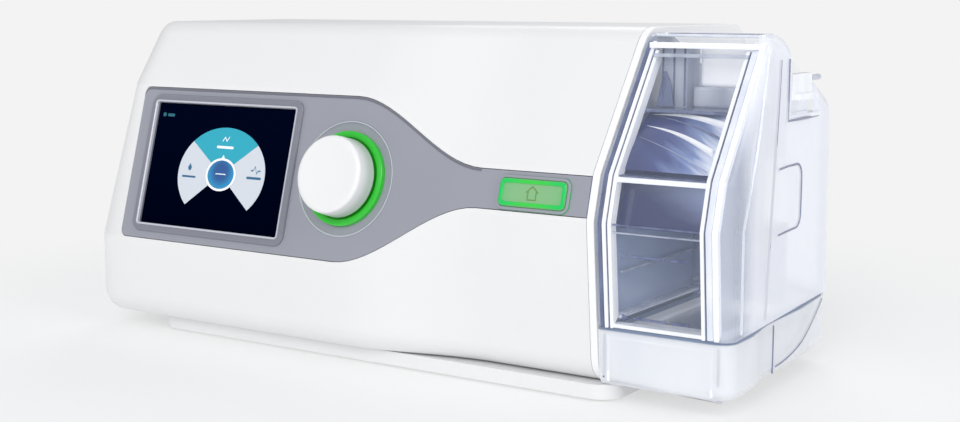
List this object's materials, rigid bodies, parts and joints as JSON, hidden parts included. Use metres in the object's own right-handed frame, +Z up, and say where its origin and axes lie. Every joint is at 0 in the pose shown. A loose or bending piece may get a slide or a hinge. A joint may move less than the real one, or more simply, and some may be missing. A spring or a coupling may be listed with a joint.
{
  "type": "bedside breathing ventilator with heated humidifier",
  "caption": "Bedside breathing ventilator: white casing, sloping grey panel with colour screen, push-and-turn knob and lit home key, clear heated water tank docked at the right end.",
  "frame": {"origin": "middle of the overall footprint, on the table", "axes": "+X runs along the casing towards the water tank, -Y is the front with the control panel, +Z is up"},
  "size_m": [0.2846, 0.151, 0.1258],
  "materials": {
    "case_white": "satin",
    "panel_grey": "satin",
    "bezel_grey": "gloss",
    "screen_glass": "gloss",
    "knob_white": "satin",
    "ring_green": "gloss",
    "tank_clear": "gloss",
    "tank_frame_clear": "gloss",
    "seal_blue": "matte",
    "rubber_grey": "matte",
    "plate_metal": "brushed",
    "steel": "brushed",
    "board_green": "satin",
    "black_plastic": "matte",
    "duct_white": "satin",
    "foam_grey": "matte",
    "filter_white": "matte",
    "heater_orange": "matte"
  },
  "bodies": {
    "casing": {"blower_lower": "duct_white", "blower_motor": "black_plastic", "blower_mount_1": "rubber_grey", "blower_mount_2": "rubber_grey", "blower_mount_3": "rubber_grey", "blower_mount_4": "rubber_grey", "blower_upper": "duct_white", "board_shield": "steel", "bottom_tray": "case_white", "card_reader": "black_plastic", "case_screw_1": "steel", "case_screw_2": "steel", "case_screw_3": "steel", "case_screw_4": "steel", "display_board": "board_green", "dock_gasket_return": "rubber_grey", "dock_gasket_supply": "rubber_grey", "encoder_base": "black_plastic", "end_frame": "case_white", "foot_1": "rubber_grey", "foot_2": "rubber_grey", "foot_3": "rubber_grey", "foot_4": "rubber_grey", "front_panel": "panel_grey", "heater_element": "heater_orange", "heater_plate": "plate_metal", "heater_shelf": "case_white", "home_light_guide": "ring_green", "home_switch_board": "board_green", "inlet_duct": "duct_white", "inlet_filter": "filter_white", "knob_light_ring": "ring_green", "lcd_module": "black_plastic", "main_board": "board_green", "outlet_connector": "duct_white", "outlet_duct": "duct_white", "power_inlet": "black_plastic", "screen_bezel": "bezel_grey", "screen_lens": "screen_glass", "silencer_box": "duct_white", "silencer_foam": "foam_grey", "supply_duct": "duct_white", "upper_shell": "case_white"},
    "knob_shaft": {"encoder_plunger": "steel"},
    "knob": {"knob_cap": "knob_white"},
    "home_key": {"home_button": "ring_green"},
    "blower_rotor": {"impeller": "duct_white", "impeller_spindle": "steel"},
    "tank_tub": {"tank_skirt": "tank_frame_clear", "tank_base_plate": "plate_metal", "tank_seal": "seal_blue", "tank_hinge_pin": "steel"},
    "tank_lid": {"tank_body": "tank_clear", "latch_pin": "steel", "tank_inlet_elbow": "tank_clear", "tank_outlet_box": "tank_clear", "tank_top_block": "duct_white"},
    "tank_latch": {"tank_latch_lever": "bezel_grey"},
    "filter_flap": {"filter_door": "case_white"},
    "card_flap": {"card_door": "case_white"}
  },
  "joints": [
    {"name": "knob_push", "type": "slide", "parent": "casing", "child": "knob_shaft", "axis": [0, 0.9624, -0.2718], "range_m": [0, 0.0005], "stiffness_N_per_m": 1500, "springref_m": -0.0006},
    {"name": "knob_turn", "type": "hinge", "parent": "knob_shaft", "child": "knob", "pos_m": [-0.0123, -0.06649, 0.07072], "axis": [0, -0.9624, 0.2718], "continuous": true},
    {"name": "home_push", "type": "slide", "parent": "casing", "child": "home_key", "axis": [0, 0.9624, -0.2718], "range_m": [0, 0.0006], "stiffness_N_per_m": 1500, "springref_m": -0.0006},
    {"name": "impeller_spin", "type": "hinge", "parent": "casing", "child": "blower_rotor", "pos_m": [0.0257, 0.00163, 0.032], "axis": [0, 0, 1], "continuous": true},
    {"name": "tank_slide", "type": "slide", "parent": "casing", "child": "tank_tub", "axis": [1, 0, 0], "range_m": [0, 0.06]},
    {"name": "tank_open", "type": "hinge", "parent": "tank_tub", "child": "tank_lid", "pos_m": [0.1165, 0.04953, 0.0246], "axis": [-1, 0, 0], "range_deg": [0, 85]},
    {"name": "latch_lift", "type": "hinge", "parent": "tank_lid", "child": "tank_latch", "pos_m": [0.1361, 0.00813, 0.1075], "axis": [0, -1, 0], "range_deg": [0, 30], "stiffness_Nm_per_rad": 0.03, "springref_deg": -17.19},
    {"name": "filter_door_open", "type": "hinge", "parent": "casing", "child": "filter_flap", "pos_m": [-0.0463, 0.05673, 0.0482], "axis": [-1, 0, 0], "range_deg": [0, 100]},
    {"name": "card_door_open", "type": "hinge", "parent": "casing", "child": "card_flap", "pos_m": [-0.1414, -0.00217, 0.062], "axis": [0, 0, 1], "range_deg": [0, 100]}
  ]
}
